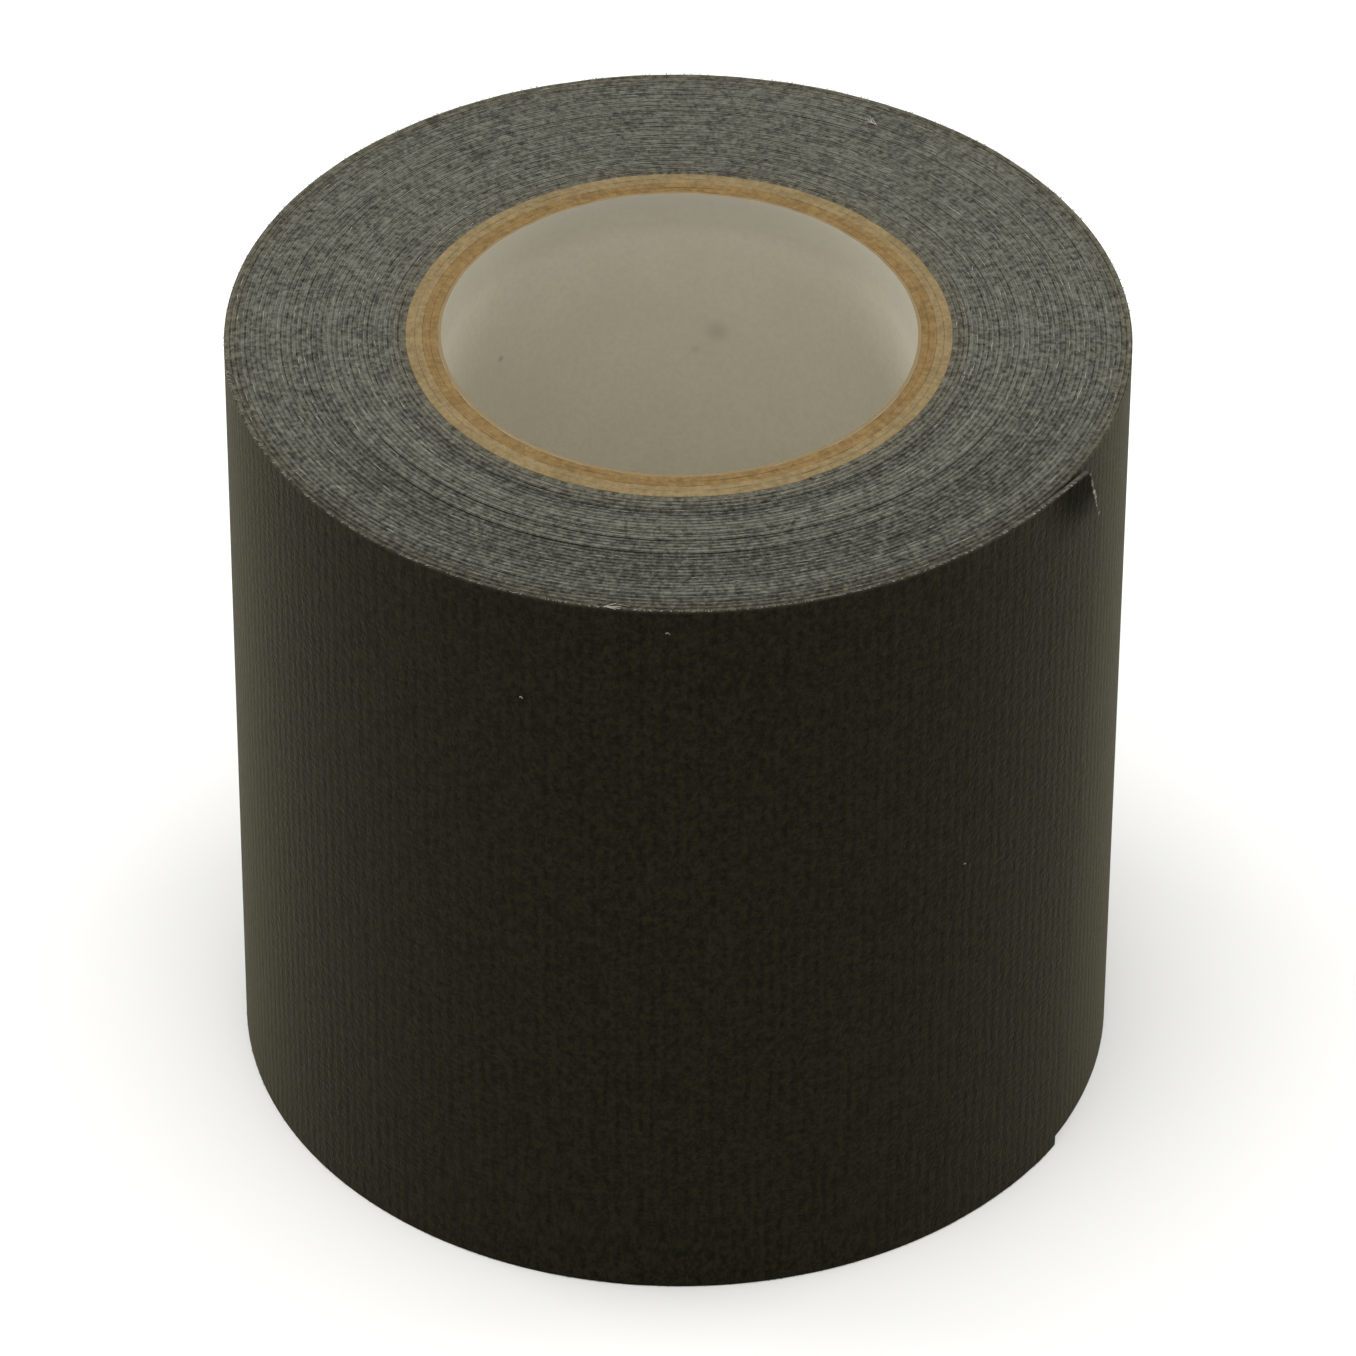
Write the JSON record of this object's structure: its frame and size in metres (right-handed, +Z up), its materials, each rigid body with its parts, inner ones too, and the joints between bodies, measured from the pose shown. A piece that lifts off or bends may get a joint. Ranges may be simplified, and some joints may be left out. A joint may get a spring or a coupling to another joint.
{
  "type": "duct tape roll",
  "caption": "Roll of matte black cloth-backed tape wound on a white-lined kraft paper core, with a free end that peels away from the roll.",
  "frame": {"origin": "centre of the core's bore on the bottom end face of the standing roll", "axes": "+Z up along the roll's axis; seen from above the tape winds counter-clockwise outwards, and its free end lies 31 degrees clockwise of +X at the bottom and 25 degrees at the top"},
  "size_m": [0.05, 0.0501, 0.048],
  "materials": {
    "liner_paper": "matte",
    "kraft_board": "matte",
    "adhesive": "matte",
    "scrim": "matte",
    "film": "matte"
  },
  "bodies": {
    "roll": {"core_liner": "liner_paper", "core_ply_1": "kraft_board", "core_ply_2": "kraft_board", "core_ply_3": "kraft_board", "core_ply_4": "kraft_board", "wound_adhesive": "adhesive", "wound_scrim": "scrim", "wound_film": "film"},
    "tail_1": {"tail_1_adhesive": "adhesive", "tail_1_scrim": "scrim", "tail_1_film": "film"},
    "tail_2": {"tail_2_adhesive": "adhesive", "tail_2_scrim": "scrim", "tail_2_film": "film"},
    "tail_3": {"tail_3_adhesive": "adhesive", "tail_3_scrim": "scrim", "tail_3_film": "film"},
    "tail_4": {"tail_4_adhesive": "adhesive", "tail_4_scrim": "scrim", "tail_4_film": "film"},
    "tail_5": {"tail_5_adhesive": "adhesive", "tail_5_scrim": "scrim", "tail_5_film": "film"},
    "tail_6": {"tail_6_adhesive": "adhesive", "tail_6_scrim": "scrim", "tail_6_film": "film"}
  },
  "joints": [
    {"name": "tail_peel_1", "type": "hinge", "parent": "roll", "child": "tail_1", "pos_m": [-0.00559, -0.02451, 0.024], "axis": [0, 0, -1], "range_deg": [0, 22]},
    {"name": "tail_peel_2", "type": "hinge", "parent": "tail_1", "child": "tail_2", "pos_m": [-0.00037, -0.02515, 0.024], "axis": [0, 0, -1], "range_deg": [0, 22]},
    {"name": "tail_peel_3", "type": "hinge", "parent": "tail_2", "child": "tail_3", "pos_m": [0.00487, -0.02469, 0.024], "axis": [0, 0, -1], "range_deg": [0, 22]},
    {"name": "tail_peel_4", "type": "hinge", "parent": "tail_3", "child": "tail_4", "pos_m": [0.0099, -0.02315, 0.024], "axis": [0, 0, -1], "range_deg": [0, 22]},
    {"name": "tail_peel_5", "type": "hinge", "parent": "tail_4", "child": "tail_5", "pos_m": [0.0145, -0.0206, 0.024], "axis": [0, 0, -1], "range_deg": [0, 22]},
    {"name": "tail_peel_6", "type": "hinge", "parent": "tail_5", "child": "tail_6", "pos_m": [0.01846, -0.01715, 0.024], "axis": [0, 0, -1], "range_deg": [0, 22]}
  ],
  "couplings": [
    {"joint": "tail_peel_2", "follows": "tail_peel_1", "ratio": 1},
    {"joint": "tail_peel_3", "follows": "tail_peel_1", "ratio": 1},
    {"joint": "tail_peel_4", "follows": "tail_peel_1", "ratio": 1},
    {"joint": "tail_peel_5", "follows": "tail_peel_1", "ratio": 1},
    {"joint": "tail_peel_6", "follows": "tail_peel_1", "ratio": 1}
  ]
}
